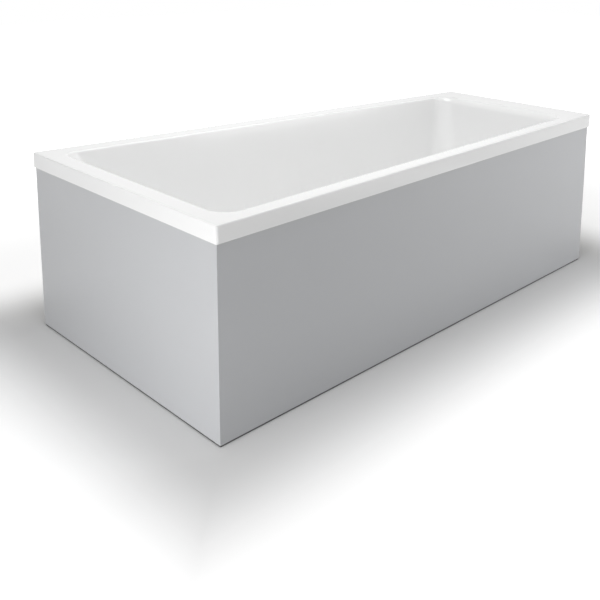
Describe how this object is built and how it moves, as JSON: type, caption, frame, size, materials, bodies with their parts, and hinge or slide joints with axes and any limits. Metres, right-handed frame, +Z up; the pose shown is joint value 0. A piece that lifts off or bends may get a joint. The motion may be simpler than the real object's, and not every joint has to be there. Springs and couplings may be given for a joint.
{
  "type": "alcove bathtub",
  "caption": "Space-saving trapezium bathtub in white acrylic with a flat rim, grey front and end panels, adjustable legs, trap and rotary pop-up waste.",
  "frame": {"origin": "on the floor, under the middle of the rim's outline", "axes": "+X along the back wall from the wide head end to the narrow drain end, +Y to the back wall, +Z up"},
  "size_m": [1.6, 0.8488, 0.48],
  "materials": {
    "acrylic_white": "smooth gloss",
    "panel_lacquer": "satin lacquer over board",
    "seal_dark": "matte",
    "galvanised": "galvanised",
    "screw_zinc": "zinc plated",
    "stud_steel": "zinc plated",
    "base_board": "bare particle board",
    "batten_wood": "bare softwood",
    "chrome": "polished",
    "waste_plastic": "moulded",
    "pipe_plastic": "moulded",
    "lever_plastic": "moulded",
    "pad_plastic": "moulded",
    "seal_rubber": "matte",
    "sheath_plastic": "smooth"
  },
  "bodies": {
    "bath": {"tub_shell": "acrylic_white", "front_panel": "panel_lacquer", "end_panel": "panel_lacquer", "front_base_seal": "seal_dark", "end_base_seal": "seal_dark", "base_board": "base_board", "front_batten": "batten_wood", "head_batten": "batten_wood", "back_batten": "batten_wood", "drain_batten": "batten_wood", "head_rail": "galvanised", "drain_rail": "galvanised", "rail_screws": "screw_zinc", "leg_lock_nuts": "stud_steel", "front_panel_clips": "galvanised", "end_panel_clips": "galvanised", "clip_screws": "screw_zinc", "corner_brackets": "galvanised", "corner_bracket_screws": "screw_zinc", "front_wall_angle": "galvanised", "end_wall_angle": "galvanised", "wall_angle_screws": "screw_zinc", "back_wall_anchors": "galvanised", "end_wall_anchor": "galvanised", "waste_flange": "chrome", "waste_upper_seal": "seal_rubber", "waste_lower_seal": "seal_rubber", "waste_body": "waste_plastic", "lever_pin": "stud_steel", "trap": "pipe_plastic", "trap_cap": "pipe_plastic", "trap_nuts": "pipe_plastic", "outlet_pipe": "pipe_plastic", "overflow_body": "waste_plastic", "overflow_seal": "seal_rubber", "overflow_plate": "chrome", "overflow_plate_screws": "screw_zinc", "overflow_pipe": "pipe_plastic", "overflow_pipe_nuts": "pipe_plastic", "cable_sheath": "sheath_plastic"},
    "knob": {"overflow_knob": "chrome", "knob_crank": "stud_steel"},
    "plug_lift_piece": {"plug": "chrome", "plug_seal": "seal_rubber"},
    "lever": {"lift_lever": "lever_plastic"},
    "leg_head_front": {"leg_stud_head_front": "stud_steel", "leg_pad_head_front": "pad_plastic"},
    "leg_head_back": {"leg_stud_head_back": "stud_steel", "leg_pad_head_back": "pad_plastic"},
    "leg_drain_front": {"leg_stud_drain_front": "stud_steel", "leg_pad_drain_front": "pad_plastic"},
    "leg_drain_back": {"leg_stud_drain_back": "stud_steel", "leg_pad_drain_back": "pad_plastic"}
  },
  "joints": [
    {"name": "knob_turn", "type": "hinge", "parent": "bath", "child": "knob", "pos_m": [0.012, -0.23235, 0.392], "axis": [-0.158, 0.9721, 0.1736], "range_deg": [0, 90]},
    {"name": "plug_lift", "type": "slide", "parent": "bath", "child": "plug_lift_piece", "axis": [0, 0, 1], "range_m": [0, 0.009]},
    {"name": "lever_turn", "type": "hinge", "parent": "bath", "child": "lever", "pos_m": [0.012, 0.04434, 0.036], "axis": [1, 0, 0], "range_deg": [0, 28]},
    {"name": "leg_head_front_screw", "type": "slide", "parent": "bath", "child": "leg_head_front", "axis": [0, 0, -1], "range_m": [-0.005, 0.03]},
    {"name": "leg_head_back_screw", "type": "slide", "parent": "bath", "child": "leg_head_back", "axis": [0, 0, -1], "range_m": [-0.005, 0.03]},
    {"name": "leg_drain_front_screw", "type": "slide", "parent": "bath", "child": "leg_drain_front", "axis": [0, 0, -1], "range_m": [-0.005, 0.03]},
    {"name": "leg_drain_back_screw", "type": "slide", "parent": "bath", "child": "leg_drain_back", "axis": [0, 0, -1], "range_m": [-0.005, 0.03]}
  ],
  "couplings": [
    {"joint": "knob_turn", "follows": "plug_lift", "rad_per_m": 174.53},
    {"joint": "lever_turn", "follows": "plug_lift", "rad_per_m": 54.299}
  ]
}
